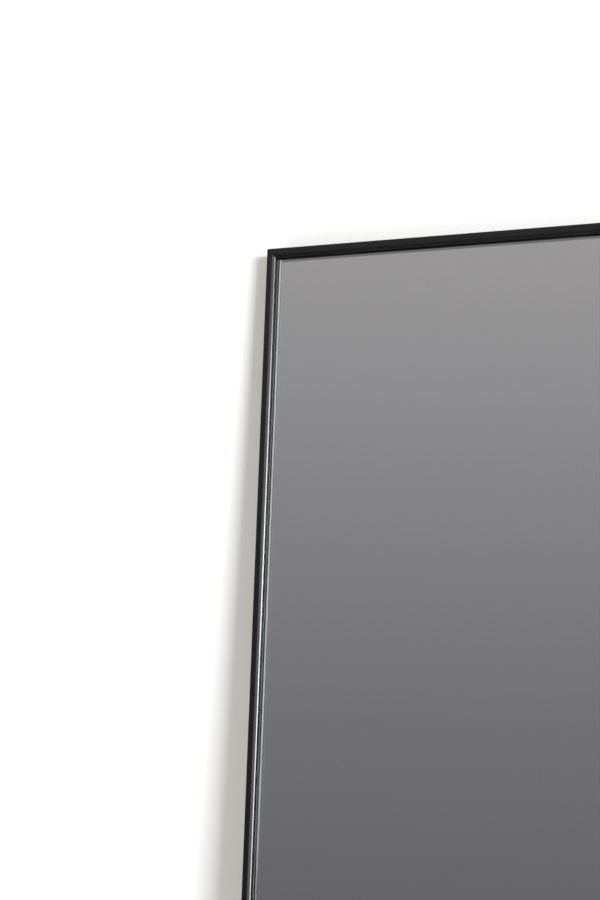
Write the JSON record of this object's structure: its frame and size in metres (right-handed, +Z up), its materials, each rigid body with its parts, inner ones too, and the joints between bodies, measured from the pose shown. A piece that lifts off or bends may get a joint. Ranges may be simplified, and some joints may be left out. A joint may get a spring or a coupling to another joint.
{
  "type": "full-length mirror",
  "caption": "Tall leaning mirror: slim black mitred metal frame, recessed silvered pane held behind a lip, folding wire loops for wall hanging behind.",
  "frame": {"origin": "on the floor under the middle of the mirror's overall box, at the underside of the feet", "axes": "+Z up along the mirror's height, +X to the right as seen from the front, +Y from the glass towards the back; the mirror faces -Y"},
  "size_m": [0.7, 0.027, 1.803],
  "materials": {
    "black_frame": "satin black powder coat on extruded aluminium",
    "cast_zinc": "raw die-cast zinc",
    "black_screw": "blackened steel",
    "silvered_glass": "polished silvered float glass with ground edges",
    "safety_film": "woven-backed safety film",
    "foam_tape": "closed-cell foam",
    "fibreboard": "raw medium-density fibreboard",
    "plated_steel": "bright zinc plate",
    "plated_wire": "nickel plate",
    "spacer_plastic": "moulded nylon",
    "rubber": "moulded rubber"
  },
  "bodies": {
    "mirror": {"frame_left_upright": "black_frame", "frame_right_upright": "black_frame", "frame_top_rail": "black_frame", "frame_bottom_rail": "black_frame", "corner_keys": "cast_zinc", "corner_screws": "black_screw", "mirror_glass": "silvered_glass", "safety_film": "safety_film", "foam_tape": "foam_tape", "backing_panel": "fibreboard", "panel_screws": "plated_steel", "edge_spacers": "spacer_plastic", "left_hanger_strap": "plated_steel", "right_hanger_strap": "plated_steel", "hanger_screws": "plated_steel", "left_foot": "rubber", "right_foot": "rubber", "wall_bumpers": "rubber"},
    "left_loop": {"left_hanger_loop": "plated_wire"},
    "right_loop": {"right_hanger_loop": "plated_wire"}
  },
  "joints": [
    {"name": "left_loop_swing", "type": "hinge", "parent": "mirror", "child": "left_loop", "pos_m": [-0.33349, 0.00648, 1.503], "axis": [1, 0, 0], "range_deg": [0, 180]},
    {"name": "right_loop_swing", "type": "hinge", "parent": "mirror", "child": "right_loop", "pos_m": [0.33349, 0.00648, 1.503], "axis": [1, 0, 0], "range_deg": [0, 180]}
  ]
}
